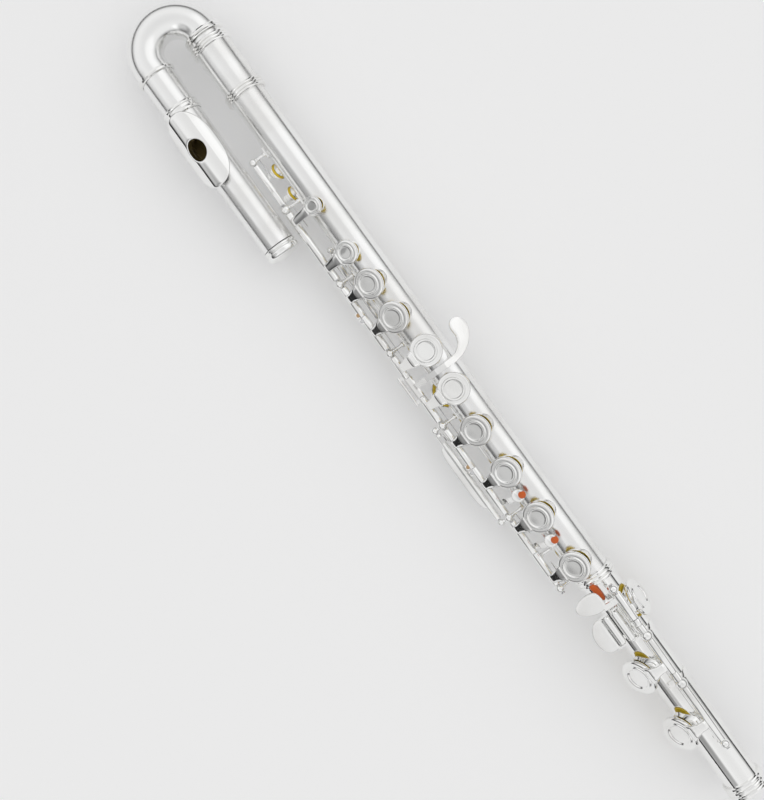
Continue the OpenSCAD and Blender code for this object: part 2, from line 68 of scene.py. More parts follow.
silverFinish = {
    "colour": (0.94, 0.94, 0.93, 1.0),
    "shade": (0.85, 0.845, 0.83, 1.0),  # where the plate has dulled a little
    "roughness": 0.06,
    "dullRoughness": 0.13,
    "patchSize": 38.0,
    "scratchDepth": 0.05,
}
satinFinish = {
    "colour": (0.93, 0.93, 0.925, 1.0),
    "shade": (0.86, 0.855, 0.84, 1.0),
    "roughness": 0.2,
    "dullRoughness": 0.3,
    "patchSize": 30.0,
    "scratchDepth": 0.06,
}
steelFinish = {
    "colour": (0.70, 0.70, 0.71, 1.0),
    "shade": (0.52, 0.52, 0.53, 1.0),
    "roughness": 0.2,
    "dullRoughness": 0.32,
    "patchSize": 90.0,
    "scratchDepth": 0.03,
}
padFinish = {"colour": (0.95, 0.72, 0.05, 1.0), "fold": (0.84, 0.56, 0.03, 1.0), "roughness": 0.4}
feltFinish = {"colour": (0.80, 0.17, 0.03, 1.0), "fold": (0.55, 0.09, 0.02, 1.0), "roughness": 0.95}
corkFinish = {"colour": (0.66, 0.45, 0.25, 1.0), "fold": (0.42, 0.26, 0.13, 1.0), "roughness": 0.85}


def newGroup(name, inputs, outputs):
    group = bpy.data.node_groups.new(name, "ShaderNodeTree")
    for label, kind, value in inputs:
        socket = group.interface.new_socket(label, in_out="INPUT", socket_type=kind)
        socket.default_value = value
    for label, kind in outputs:
        group.interface.new_socket(label, in_out="OUTPUT", socket_type=kind)
    return group, group.nodes.new("NodeGroupInput"), group.nodes.new("NodeGroupOutput")


def makePlateWear():
    # polished plate: broad dull patches left by handling, and very fine polishing marks
    group, given, result = newGroup(
        "plateWear",
        [
            ("Bright", "NodeSocketColor", (0.9, 0.9, 0.9, 1.0)),
            ("Dull", "NodeSocketColor", (0.7, 0.7, 0.7, 1.0)),
            ("Patch Size", "NodeSocketFloat", 40.0),
            ("Smooth Roughness", "NodeSocketFloat", 0.1),
            ("Dull Roughness", "NodeSocketFloat", 0.25),
        ],
        [
            ("Colour", "NodeSocketColor"),
            ("Roughness", "NodeSocketFloat"),
            ("Marks", "NodeSocketFloat"),
        ],
    )
    tree, link = group.nodes, group.links.new
    place = tree.new("ShaderNodeTexCoord")
    patches = tree.new("ShaderNodeTexNoise")
    patches.inputs["Detail"].default_value = 4.0
    link(place.outputs["Object"], patches.inputs["Vector"])
    link(given.outputs["Patch Size"], patches.inputs["Scale"])
    patchMask = tree.new("ShaderNodeMapRange")
    patchMask.interpolation_type = "SMOOTHSTEP"
    patchMask.inputs["From Min"].default_value = 0.42
    patchMask.inputs["From Max"].default_value = 0.72
    link(patches.outputs["Fac"], patchMask.inputs["Value"])
    colourMix = tree.new("ShaderNodeMix")
    colourMix.data_type = "RGBA"
    link(patchMask.outputs["Result"], colourMix.inputs["Factor"])
    link(given.outputs["Bright"], colourMix.inputs["A"])
    link(given.outputs["Dull"], colourMix.inputs["B"])
    roughMix = tree.new("ShaderNodeMix")
    link(patchMask.outputs["Result"], roughMix.inputs["Factor"])
    link(given.outputs["Smooth Roughness"], roughMix.inputs["A"])
    link(given.outputs["Dull Roughness"], roughMix.inputs["B"])
    stretch = tree.new("ShaderNodeMapping")
    stretch.inputs["Scale"].default_value = (60.0, 900.0, 900.0)
    link(place.outputs["Object"], stretch.inputs["Vector"])
    marks = tree.new("ShaderNodeTexNoise")
    marks.inputs["Scale"].default_value = 4.0
    marks.inputs["Detail"].default_value = 3.0
    link(stretch.outputs["Vector"], marks.inputs["Vector"])
    link(colourMix.outputs["Result"], result.inputs["Colour"])
    link(roughMix.outputs["Result"], result.inputs["Roughness"])
    link(marks.outputs["Fac"], result.inputs["Marks"])
    return group


def makeSoftGrain():
    # skin, felt, cork and the painted shade inside the bore: two tones and a grain
    group, given, result = newGroup(
        "softGrain",
        [
            ("Light", "NodeSocketColor", (0.8, 0.6, 0.3, 1.0)),
            ("Dark", "NodeSocketColor", (0.5, 0.3, 0.1, 1.0)),
            ("Grain Size", "NodeSocketFloat", 900.0),
        ],
        [("Colour", "NodeSocketColor"), ("Grain", "NodeSocketFloat")],
    )
    tree, link = group.nodes, group.links.new
    place = tree.new("ShaderNodeTexCoord")
    grain = tree.new("ShaderNodeTexNoise")
    grain.inputs["Detail"].default_value = 6.0
    grain.inputs["Roughness"].default_value = 0.65
    link(place.outputs["Object"], grain.inputs["Vector"])
    link(given.outputs["Grain Size"], grain.inputs["Scale"])
    colourMix = tree.new("ShaderNodeMix")
    colourMix.data_type = "RGBA"
    link(grain.outputs["Fac"], colourMix.inputs["Factor"])
    link(given.outputs["Light"], colourMix.inputs["A"])
    link(given.outputs["Dark"], colourMix.inputs["B"])
    link(colourMix.outputs["Result"], result.inputs["Colour"])
    link(grain.outputs["Fac"], result.inputs["Grain"])
    return group


plateWear = makePlateWear()
softGrain = makeSoftGrain()


def newMaterial(name):
    material = bpy.data.materials.new(name)
    material.use_nodes = True
    return material, material.node_tree, material.node_tree.nodes["Principled BSDF"]


def bumpFrom(tree, height, strength, distance):
    bump = tree.nodes.new("ShaderNodeBump")
    bump.inputs["Strength"].default_value = strength
    bump.inputs["Distance"].default_value = distance
    tree.links.new(height, bump.inputs["Height"])
    return bump.outputs["Normal"]


def makeMetal(name, finish):
    material, tree, shader = newMaterial(name)
    wear = tree.nodes.new("ShaderNodeGroup")
    wear.node_tree = plateWear
    wear.inputs["Bright"].default_value = finish["colour"]
    wear.inputs["Dull"].default_value = finish["shade"]
    wear.inputs["Patch Size"].default_value = finish["patchSize"]
    wear.inputs["Smooth Roughness"].default_value = finish["roughness"]
    wear.inputs["Dull Roughness"].default_value = finish["dullRoughness"]
    shader.inputs["Metallic"].default_value = 1.0
    tree.links.new(wear.outputs["Colour"], shader.inputs["Base Color"])
    tree.links.new(wear.outputs["Roughness"], shader.inputs["Roughness"])
    marks = bumpFrom(tree, wear.outputs["Marks"], finish["scratchDepth"], 0.05 * mm)
    tree.links.new(marks, shader.inputs["Normal"])
    return material


def makeSoft(name, finish, grainSize, depth, sheen):
    material, tree, shader = newMaterial(name)
    grain = tree.nodes.new("ShaderNodeGroup")
    grain.node_tree = softGrain
    grain.inputs["Light"].default_value = finish["colour"]
    grain.inputs["Dark"].default_value = finish["fold"]
    grain.inputs["Grain Size"].default_value = grainSize
    shader.inputs["Roughness"].default_value = finish["roughness"]
    shader.inputs["Sheen Weight"].default_value = sheen
    tree.links.new(grain.outputs["Colour"], shader.inputs["Base Color"])
    tree.links.new(bumpFrom(tree, grain.outputs["Grain"], 0.5, depth), shader.inputs["Normal"])
    return material


silverPlate = makeMetal("silverPlate", silverFinish)
satinPlate = makeMetal("satinPlate", satinFinish)
polishedSteel = makeMetal("polishedSteel", steelFinish)
padSkin = makeSoft("padSkin", padFinish, 700.0, 0.05 * mm, 0.0)
redFelt = makeSoft("redFelt", feltFinish, 2600.0, 0.2 * mm, 0.4)
naturalCork = makeSoft("naturalCork", corkFinish, 1500.0, 0.15 * mm, 0.0)
slotLooks = {"silver_plate": silverPlate, "steel": polishedSteel, "pad_skin": padSkin, "cork": naturalCork}

for part in frame["record"]["subparts"]:
    cadNode = nodes[part["node"]]
    cadNode.data.materials.clear()
    cadNode.data.materials.append(slotLooks[part["material_slot"]])
for name in ("u_bend", "head_tube", "head_tenon", "barrel", "body_tube", "body_ribs"):
    nodes[name].data.materials[0] = satinPlate  # the big tubes are softer than the keys
print("materials made")

# frame nodes: small rounded edges on everything that a press or a file has left sharp

edges = {"width": 0.16, "segments": 2, "sharpAngle": 32.0, "weld": 0.002}
roundedNodes = [name for name in nodes if name.endswith(("_key", "_keys", "_lever", "posts", "_ribs"))]

for name in roundedNodes:
    piece = nodes[name]
    weld = piece.modifiers.new("weld", "WELD")
    weld.merge_threshold = edges["weld"] * mm
    bevel = piece.modifiers.new("softEdge", "BEVEL")
    bevel.width = edges["width"] * mm
    bevel.segments = edges["segments"]
    bevel.limit_method = "ANGLE"
    bevel.angle_limit = math.radians(edges["sharpAngle"])
    bevel.harden_normals = True
print("edges rounded on", len(roundedNodes), "nodes")


# new pieces

def addPiece(name, mesh, material, body):
    obj = bpy.data.objects.new(name, mesh)
    bpy.context.collection.objects.link(obj)
    mesh.materials.append(material)
    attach(obj, body)
    return obj


def meshFrom(name, bm, smooth=True):
    bmesh.ops.recalc_face_normals(bm, faces=bm.faces)
    mesh = bpy.data.meshes.new(name)
    bm.to_mesh(mesh)
    bm.free()
    for face in mesh.polygons:
        face.use_smooth = smooth
    return mesh


def ringsMesh(name, rings, closeEnds=True):
    # skins a list of closed rings of points, in order
    bm = bmesh.new()
    rows = [[bm.verts.new(point) for point in ring] for ring in rings]
    count = len(rows[0])
    for lower, upper in zip(rows, rows[1:]):
        for k in range(count):
            bm.faces.new((lower[k], lower[(k + 1) % count], upper[(k + 1) % count], upper[k]))
    if closeEnds:
        bm.faces.new(rows[0][::-1])
        bm.faces.new(rows[-1])
    else:
        for k in range(count):
            bm.faces.new((rows[-1][k], rows[-1][(k + 1) % count], rows[0][(k + 1) % count], rows[0][k]))
    return meshFrom(name, bm)


def turnedMesh(name, profile, placing, count=40):
    # profile: (distance along the axis, radius); placing takes local Z to the axis
    rings = []
    for along, radius in profile:
        ring = [
            placing @ Vector((radius * math.cos(t), radius * math.sin(t), along))
            for t in [2 * math.pi * k / count for k in range(count)]
        ]
        rings.append(ring)
    return ringsMesh(name, rings)


def rolled(angle, radius):
    # the point at that angle from the top, towards the player
    turn = math.radians(angle)
    return -radius * math.sin(turn), radius * math.cos(turn)


def frameAt(x, y, z, direction):
    turn = Vector(direction).normalized().to_track_quat("Z", "Y").to_matrix().to_4x4()
    return Matrix.Translation((x, y, z)) @ turn


lipPlate = {
    "length": 45.0,
    "halfWidth": 11.7,
    "squareness": 2.5,  # 2 is an ellipse, more is squarer
    "radius": 12.9,
    "lift": 1.3,
    "thickness": 0.8,
    "roll": 24.0,
    "holeLength": 12.4,
    "holeWidth": 10.4,
    "segments": 96,
}


def makeLipPlate():
    plan = lipPlate
    holeLow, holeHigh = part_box("riser")
    centreX = (holeLow.x + holeHigh.x) / 2
    legLow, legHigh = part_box("head_tube")
    legY = (legLow.y + legHigh.y) / 2
    count = plan["segments"]
    # (share of the way from the hole's edge to the rim, depth below the top face)
    section = [(0.0, 0.8), (0.0, 0.35), (0.012, 0.12), (0.035, 0.02), (0.07, 0.0)]
    section += [(0.07 + 0.87 * k / 14, 0.0) for k in range(1, 15)]
    section += [(0.965, 0.03), (0.985, 0.14), (1.0, 0.38), (0.99, 0.64), (0.965, 0.8)]
    section += [(0.965 - 0.9 * k / 10, 0.8) for k in range(1, 11)]
    spin = Matrix.Rotation(math.radians(plan["roll"]), 3, "X")
    rings = []
    for share, depth in section:
        ring = []
        for k in range(count):
            t = 2 * math.pi * k / count
            c, s = math.cos(t), math.sin(t)
            power = 2.0 / plan["squareness"]
            rim = (
                plan["length"] / 2 * math.copysign(abs(c) ** power, c),
                plan["halfWidth"] * math.copysign(abs(s) ** power, s),
            )
            hole = (plan["holeLength"] / 2 * c, plan["holeWidth"] / 2 * s)
            x = hole[0] + (rim[0] - hole[0]) * share
            w = hole[1] + (rim[1] - hole[1]) * share
            high = math.sqrt(plan["radius"] ** 2 - w * w)
            scale = (plan["radius"] - depth) / plan["radius"]
            point = spin @ Vector((0.0, w * scale, high * scale + plan["lift"]))
            ring.append((centreX + x * mm, legY + point.y * mm, point.z * mm))
        rings.append(ring)
    return ringsMesh("lipPlate", rings, closeEnds=False)


plate = addPiece("lipPlate", makeLipPlate(), silverPlate, "head")
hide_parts("lip_plate")
print("lip plate made")

# cups, arms and touches: rounded, polished faces laid just over the plain ones
keyRoll = 25.0  # the whole key line leans this far towards the player
bodyLine = {"angle": 60.0, "reach": 19.5, "lift": 8.0, "roll": keyRoll}
thumbLine = {"angle": 105.0, "reach": 16.5, "lift": -8.0, "roll": keyRoll}
footLine = {"angle": -7.6, "reach": 18.0, "lift": -8.0, "roll": 0.0}
restLine = {"angle": -7.6, "reach": 18.0, "lift": 0.0, "roll": 0.0}  # a foot key that stands closed
closedLine = {"angle": 60.0, "reach": 19.5, "lift": 0.0, "roll": keyRoll}
cupLook = {"seat": 11.6, "armTop": 14.28, "armHalf": 0.6, "proud": 0.06, "segments": 64}
cups = [
    # name, body, distance from the foot's open end, angle round the tube, radius, hinge line, has an arm
    ("cupC", "key_c", 359.9, 0.0, 6.9, bodyLine, True),
    ("cupCSharp", "key_c", 390.2, 0.0, 5.2, bodyLine, True),
    ("cupBFlat", "key_bflat", 339.5, 0.0, 8.6, bodyLine, True),
    ("cupA", "key_a", 317.6, 0.0, 8.9, bodyLine, True),
    ("cupGUpper", "key_g", 293.3, -17.0, 8.9, bodyLine, True),
    ("cupGLower", "key_g", 268.5, -17.0, 8.9, bodyLine, True),
    ("cupFSharp", "key_fsharp", 243.8, 0.0, 8.9, bodyLine, True),
    ("cupF", "key_f", 216.5, 0.0, 8.9, bodyLine, True),
    ("cupE", "key_e", 187.3, 0.0, 8.9, bodyLine, True),
    ("cupD", "key_d", 154.9, 0.0, 8.9, bodyLine, True),
    ("cupTrillD", "key_trill_d", 405.1, 100.0, 5.0, closedLine, False),
    ("cupTrillDSharp", "key_trill_dsharp", 420.1, 100.0, 5.0, closedLine, False),
    ("cupGSharp", "key_gsharp", 268.5, 118.0, 8.4, closedLine, False),
    ("cupThumbB", "key_thumb_b", 345.0, 152.0, 8.4, thumbLine, True),
    ("cupFootDSharp", "key_foot_dsharp", 120.5, -61.0, 10.4, restLine, True),
    ("cupFootCSharp", "key_foot_csharp", 85.8, 61.0, 10.3, footLine, True),
    ("cupFootC", "key_foot_c", 48.8, 61.0, 10.3, footLine, True),
]


def spin(angle):
    return Matrix.Rotation(math.radians(angle), 4, "X")


def shift(x, y, z):
    return Matrix.Translation((x * mm, y * mm, z * mm))


def keyPlace(line, angle):
    # from a key drawn closed on top of the tube to where it stands
    y, z = rolled(line["angle"], line["reach"])
    return spin(line["roll"]) @ shift(0, y, z) @ spin(line["lift"]) @ shift(0, -y, -z) @ spin(angle)


def makeCup(name, radius, placing):
    r, proud = radius, cupLook["proud"]
    profile = [(2.3, 0.3), (2.3, r - 0.3), (1.3, r - 0.3), (1.05, r - 0.1), (1.0, r + proud / 2)]
    profile += [(1.3, r + proud), (2.0, r + proud), (2.3, r), (2.55, r - 0.14), (2.75, r - 0.4)]
    profile += [(2.9, r - 0.8), (2.98, 0.86 * r), (2.95, 0.8 * r), (2.9, 0.745 * r), (2.93, 0.722 * r)]
    profile += [(3.3, 0.71 * r), (3.5, 0.692 * r), (3.58, 0.665 * r), (3.58, 0.62 * r)]
    profile += [(3.48, 0.585 * r), (3.2, 0.56 * r), (2.95, 0.545 * r), (2.88, 0.52 * r)]
    profile += [(2.89, 0.4 * r), (2.91, 0.2 * r), (2.92, 0.3)]
    return turnedMesh(name, [(z * mm, x * mm) for z, x in profile], placing, cupLook["segments"])


def makeArm(name, distance, angle, radius, line):
    # follows the arm's bends from the cup's rim down to the hinge tube, with a rounded back
    top, half, proud = cupLook["armTop"], cupLook["armHalf"], cupLook["proud"]
    turn = line["angle"] - angle
    side = math.copysign(1.0, turn)
    hy, hz = rolled(turn, line["reach"])
    start, far = radius * 0.76, abs(hy)
    bend = (hy + side * 1.3, max(hz + 2.3, min(hz + 3.4, top - 1)))
    path = [(-side * (start - 0.1), top), (-side * (radius + 0.9), top - 0.1), bend, (hy, hz)]
    points = [Vector(point) for point in path]
    last = points[2] - points[3]
    points[3] = points[3] + last.normalized() * min(1.9, last.length * 0.6)
    stations = []
    for k in range(3):
        steps = 8 if k == 1 else 4
        for n in range(steps):
            stations.append((points[k].lerp(points[k + 1], n / steps), k, n == 0))
    stations.append((points[3], 2, False))
    directions = [(points[k + 1] - points[k]).normalized() for k in range(3)]
    section = [(-1.0, -1.0), (-1.0, 0.3), (-0.94, 0.86), (-0.78, 1.18), (-0.45, 1.36), (0.0, 1.42)]
    section += [(-x, n) for x, n in section[-2::-1]]
    rings = []
    for place, k, corner in stations:
        along = directions[k]
        if corner and k > 0:
            along = (directions[k] + directions[k - 1]).normalized()
            miter = 1 / max(0.6, along.dot(directions[k]))
        else:
            miter = 1.0
        normal = Vector((-along.y, along.x))
        if normal.y < 0 or (abs(normal.y) < 0.2 and normal.x * side > 0):
            normal = -normal
        share = min(1.0, max(0.0, (abs(place.x) - start) / max(0.1, far - 3 - start)))
        width = radius * 0.5 + (2.4 - radius * 0.5) * share + proud
        ring = []
        for x, n in section:
            offset = normal * (n * (half + proud) * miter)
            ring.append((x * width - distance, place.x + offset.x, place.y + offset.y))
        rings.append(ring)
    placing = keyPlace(line, angle)
    return ringsMesh(name, [[placing @ (Vector(point) * mm) for point in ring] for ring in rings])


for name, body, distance, angle, radius, line, hasArm in cups:
    placing = keyPlace(line, angle) @ shift(-distance, 0, cupLook["seat"])
    addPiece(name, makeCup(name, radius, placing), silverPlate, body)
    if hasArm:
        armName = name.replace("cup", "arm")
        addPiece(armName, makeArm(armName, distance, angle, radius, line), silverPlate, body)
print("cups and arms made:", len(cups))


def smoothOutline(points, steps=5):
    # a closed curve through the points
    count, dense = len(points), []
    for k in range(count):
        a, b, c, d = (Vector(points[(k + n - 1) % count]) for n in range(4))
        bend, twist = 2 * a - 5 * b + 4 * c - d, 3 * b - a - 3 * c + d
        for n in range(steps):
            t = n / steps
            dense.append(0.5 * (2 * b + (c - a) * t + bend * t * t + twist * t**3))
    return dense


plateEdge = {"proud": 0.18, "round": 0.6, "dish": 0.14}


def makePlate(name, outline, half, placing):
    # a flat touch with well rounded edges, from its middle height up and down
    points = smoothOutline(outline)
    count = len(points)
    area = sum(points[k - 1].cross(points[k]) for k in range(count))
    sense = 1.0 if area > 0 else -1.0
    normals = []
    for k in range(count):
        along = (points[(k + 1) % count] - points[k - 1]).normalized()
        normals.append(Vector((along.y, -along.x)) * sense)
    h, edge, proud = half + plateEdge["proud"], plateEdge["round"], plateEdge["proud"]
    rings = []
    for sign, arc in ((-1, range(6)), (1, range(5, -1, -1))):
        for k in arc:
            t = math.pi / 2 * k / 5
            inset, height = edge * (1 - math.sin(t)), h - edge + edge * math.cos(t)
            ring = [point + normal * (proud - inset) for point, normal in zip(points, normals)]
            rings.append([placing @ Vector((v.x * mm, v.y * mm, sign * height * mm)) for v in ring])
    # the top is hollowed a little inside its rim
    for inset, drop in ((0.85, 0.35), (1.1, 0.85), (1.35, 1.0)):
        level = (h - plateEdge["dish"] * drop) * mm
        ring = [point + normal * (proud - inset) for point, normal in zip(points, normals)]
        rings.append([placing @ Vector((v.x * mm, v.y * mm, level)) for v in ring])
    return ringsMesh(name, rings)


sideY, sideZ = rolled(65.0, 24.3)
trillDisc = [(3.5 * math.cos(k * math.pi / 6), 3.5 * math.sin(k * math.pi / 6)) for k in range(12)]
bodyRoll = spin(keyRoll)
touches = {
    "touchGSharp": {
        "body": "key_gsharp",
        "half": 0.75,
        "placing": shift(0, 6.0, 14.6) @ spin(-18),
        "outline": [
            (-279.4, -0.8), (-282.6, -0.8), (-283.4, 2.4), (-284.8, 4.8), (-287.0, 7.0), (-290.5, 8.4),
            (-294.0, 8.2), (-296.8, 8.8), (-298.6, 10.4), (-299.2, 13.0), (-298.0, 15.8), (-295.6, 17.1),
            (-292.4, 17.4), (-289.6, 16.6), (-286.6, 14.6), (-283.2, 11.2), (-280.6, 6.4), (-279.6, 2.6),
        ],
    },
    "touchFootDSharp": {
        "body": "key_foot_dsharp",
        "half": 0.7,
        "placing": shift(-140, -6.6, 17.0) @ spin(7),
        "outline": [
            (1.2, -1.0), (4.5, 0.8), (10.2, 0.8), (11.6, -2.0), (11.4, -6.0), (9.6, -10.0),
            (6.8, -13.2), (3.8, -13.6), (1.4, -11.0), (0.2, -6.0),
        ],
    },
    "touchFootCSharp": {
        "body": "key_foot_csharp",
        "half": 0.7,
        "placing": shift(-125.2, -12.5, 15.4) @ spin(10),
        "outline": [
            (0.2, -0.2), (1.0, 0.0), (9.0, 0.0), (17.4, 0.0), (18.2, -0.4), (18.2, -4.6), (15.6, -7.6),
            (11.0, -8.8), (6.0, -8.4), (2.0, -6.0), (0.0, -3.0),
        ],
    },
    "touchSideBFlat": {
        "body": "lever_bflat",
        "half": 0.65,
        "placing": bodyRoll @ shift(-246, sideY - 7.0, sideZ + 1.0) @ spin(-12) @ shift(0, 0, 0.65),
        "outline": [
            (0.3, 6.6), (0.6, 4.8), (3.0, 3.2), (8.0, 2.6), (20.0, 2.6), (32.0, 2.6), (38.0, 3.4),
            (40.5, 5.0), (40.6, 6.4), (38.0, 7.4), (20.0, 7.4), (2.0, 7.4),
        ],
    },
    "touchTrillD": {
        "body": "key_trill_d",
        "half": 0.6,
        "placing": bodyRoll @ shift(-202.7, -2.6, 15.4) @ spin(-4) @ shift(0, 0, 0.6),
        "outline": trillDisc,
    },
    "touchTrillDSharp": {
        "body": "key_trill_dsharp",
        "half": 0.6,
        "placing": bodyRoll @ shift(-173.3, -2.6, 15.4) @ spin(-4) @ shift(0, 0, 0.6),
        "outline": trillDisc,
    },
}
for name, touch in touches.items():
    mesh = makePlate(name, touch["outline"], touch["half"], touch["placing"])
    addPiece(name, mesh, silverPlate, touch["body"])
print("touches made:", len(touches))

# painted shade: dull browns that stand in for the dim inside of the head tube, seen through the embouchure hole
boreShadeTones = {"colour": (0.46, 0.34, 0.13, 1.0), "fold": (0.24, 0.17, 0.06, 1.0), "roughness": 0.6}
boreShadeBrown = makeSoft("boreShadeBrown", boreShadeTones, 400.0, 0.05 * mm, 0.0)
bore = {"radius": 8.85, "thickness": 0.15, "halfLength": 12.0, "spread": 70.0, "steps": 24}


def makeBoreShadeLining():
    # painted shade: a brown lining on the far wall of the bore that shows through the embouchure hole, standing in
    # for the dim inside of the tube
    holeLow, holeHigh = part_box("riser")
    centreX = (holeLow.x + holeHigh.x) / 2
    legLow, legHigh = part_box("head_tube")
    legY = (legLow.y + legHigh.y) / 2
    inner = bore["radius"] - bore["thickness"]
    rings = []
    for step in range(bore["steps"] + 1):
        turn = math.radians(lipPlate["roll"] + 180 + bore["spread"] * (2 * step / bore["steps"] - 1))
        ring = []
        for side, radius in ((-1, bore["radius"]), (1, bore["radius"])):
            ring.append((centreX + side * bore["halfLength"] * mm, radius))
        for side, radius in ((1, inner), (-1, inner)):
            ring.append((centreX + side * bore["halfLength"] * mm, radius))
        rings.append(
            [(x, legY - radius * math.sin(turn) * mm, radius * math.cos(turn) * mm) for x, radius in ring]
        )
    return ringsMesh("boreShadeLining", rings)


# painted shade lining inside the bore, under the embouchure hole
addPiece("boreShadeLining", makeBoreShadeLining(), boreShadeBrown, "head")
print("bore made")

crownLook = {"start": -388.2, "segments": 72}


def makeCrown():
    # a beaded collar, a narrow waist and a domed end
    legLow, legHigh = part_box("head_tube")
    legY = (legLow.y + legHigh.y) / 2
    profile = [(-3.9, 0.3), (-3.9, 8.1), (2.45, 8.1), (2.45, 8.9), (2.5, 9.2), (2.7, 9.5), (3.0, 9.7)]
    profile += [(3.4, 9.74), (3.8, 9.7), (4.1, 9.5), (4.3, 9.2), (4.45, 8.9), (4.6, 8.9), (4.75, 9.15)]
    profile += [(5.0, 9.5), (5.4, 9.7), (6.0, 9.74), (6.8, 9.72), (7.5, 9.5), (8.1, 9.0), (8.5, 8.4)]
    profile += [(8.75, 7.8), (8.8, 7.2), (8.7, 6.8), (8.75, 6.4), (9.1, 5.9), (9.5, 4.9), (9.85, 3.4)]
    profile += [(10.05, 1.8), (10.1, 0.3)]
    placing = frameAt(crownLook["start"] * mm, legY, 0, (1, 0, 0))
    scaled = [(along * mm, radius * mm) for along, radius in profile]
    return turnedMesh("crownCap", scaled, placing, crownLook["segments"])


crownCap = addPiece("crownCap", makeCrown(), silverPlate, "crown_end")
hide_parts("crown")
print("crown made")

# slotted screw heads at the ends of the hinge lines
screws = {
    "radius": 1.15,
    "height": 0.7,
    "slot": 0.22,
    "depth": 0.35,
    "rim": 0.15,
    "taper": 0.88,
    "floorShare": 0.98,
    "arcSteps": 14,
    "floorSteps": 24,
    "gap": 0.1,
}


def slottedHead(name, x, y, z, side):
    # a round head with a slot across it, facing along X to that side
    size, bm = screws, bmesh.new()
    steps = size["arcSteps"]
    levels = [(0.0, 1.0), (size["height"] - size["rim"], 1.0), (size["height"], size["taper"])]
    for half in (1, -1):
        start = math.asin(size["slot"] / size["radius"])
        arc = [start + (math.pi - 2 * start) * k / steps for k in range(steps + 1)]
        outline = [(size["radius"] * math.cos(t), half * size["radius"] * math.sin(t)) for t in arc]
        rows = []
        for along, shrink in levels:
            rows.append(
                [
                    bm.verts.new(
                        (
                            x + side * along * mm,
                            y + (half * size["slot"] + (b - half * size["slot"]) * shrink) * mm,
                            z + a * shrink * mm,
                        )
                    )
                    for a, b in outline
                ]
            )
        for lower, upper in zip(rows, rows[1:]):
            for k in range(len(lower)):
                following = (k + 1) % len(lower)
                bm.faces.new((lower[k], lower[following], upper[following], upper[k]))
        bm.faces.new(rows[0])
        bm.faces.new(rows[-1])
    turns = size["floorSteps"]
    floorRadius = size["radius"] * size["floorShare"] * mm
    floorRing = [
        bm.verts.new(
            (
                x + side * (size["height"] - size["depth"]) * mm,
                y + floorRadius * math.sin(2 * math.pi * k / turns),
                z + floorRadius * math.cos(2 * math.pi * k / turns),
            )
        )
        for k in range(turns)
    ]
    bm.faces.new(floorRing)
    return meshFrom(name, bm, smooth=False)


def screwRow():
    joints = {joint["name"]: joint for joint in frame["joints"]}
    gap = screws["gap"] * mm
    postLow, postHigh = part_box("body_steels")
    footLow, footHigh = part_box("foot_steel")
    mainY, mainZ = joints["d_key_press"]["pos_m"][1:]
    footY, footZ = joints["foot_c_press"]["pos_m"][1:]
    places = [
        ("screwMainLow", postHigh.x + gap, mainY, mainZ, 1, "body"),
        ("screwMainHigh", postLow.x - gap, mainY, mainZ, -1, "body"),
        ("screwFootLow", footHigh.x + gap, footY, footZ, 1, "foot"),
        ("screwFootHigh", footLow.x - gap, footY, footZ, -1, "foot"),
    ]
    for name, x, y, z, side, body in places:
        addPiece(name, slottedHead(name, x, y, z, side), polishedSteel, body)


screwRow()
print("screw heads made")

# felts under the trill touches
felts = {"radius": 2.1, "depth": 2.3}
discLook = {"edge": 0.22, "segments": 28}


def disc(name, placing, radius, depth, material, body):
    edge = min(radius, depth) * discLook["edge"] * mm
    r, h = radius * mm, depth * mm
    profile = [(0.0, r - edge), (edge, r), (h - edge, r), (h, r - edge)]
    return addPiece(name, turnedMesh(name, profile, placing, discLook["segments"]), material, body)


def pointOnBody(x, y, z):
    # from the key line's own frame to the row frame
    turn = math.radians(keyRoll)
    return x, y * math.cos(turn) - z * math.sin(turn), y * math.sin(turn) + z * math.cos(turn)


keyUp = Vector((0.0, -math.sin(math.radians(keyRoll)), math.cos(math.radians(keyRoll))))
for name, body, d in (("feltTrillD", "key_trill_d", 202.7), ("feltTrillDSharp", "key_trill_dsharp", 173.3)):
    x, y, z = pointOnBody(-(d - 0.6) * mm, -0.5 * mm, 14.6 * mm)
    disc(name, frameAt(x, y, z, keyUp), felts["radius"], felts["depth"], redFelt, body)


# the lugs on the main hinge line: a cork on the one that is pushed, a screw on the one that pushes
lugs = {"angle": 58.4, "reach": 21.5, "face": 0.62, "corkRadius": 1.1, "corkDepth": 0.5}
lugPlaces = [
    ("lugCorkBFlat", "key_bflat", 330.0, True),
    ("lugScrewA", "key_a", 326.2, False),
    ("lugCorkFSharp", "key_fsharp", 229.4, True),
    ("lugScrewF", "key_f", 225.6, False),
]
for name, body, d, isCork in lugPlaces:
    turn = math.radians(lugs["angle"])
    y, z = rolled(lugs["angle"], lugs["reach"])
    y, z = y + lugs["face"] * math.cos(turn), z + lugs["face"] * math.sin(turn)
    outward = bodyRoll.to_3x3() @ Vector((0.0, math.cos(turn), math.sin(turn)))
    at = bodyRoll @ Vector((-d * mm, y * mm, z * mm))
    if isCork:
        placing = frameAt(at.x, at.y, at.z, outward)
        disc(name, placing, lugs["corkRadius"], lugs["corkDepth"], naturalCork, body)
    else:
        head = slottedHead(name, 0, 0, 0, 1)
        head.transform(Matrix.Translation(at) @ outward.to_track_quat("X", "Z").to_matrix().to_4x4())
        addPiece(name, head, polishedSteel, body)
print("corks and adjusting screws made")

wedge = {
    "x": -0.1360,
    "y": -0.0049,
    "foot": 9.35,
    "length": 10.4,
    "wide": 4.0,
    "narrow": 1.9,
    "height": 2.5,
    "cornerPower": 0.55,
    "skew": 0.7,
    "segments": 32,
}


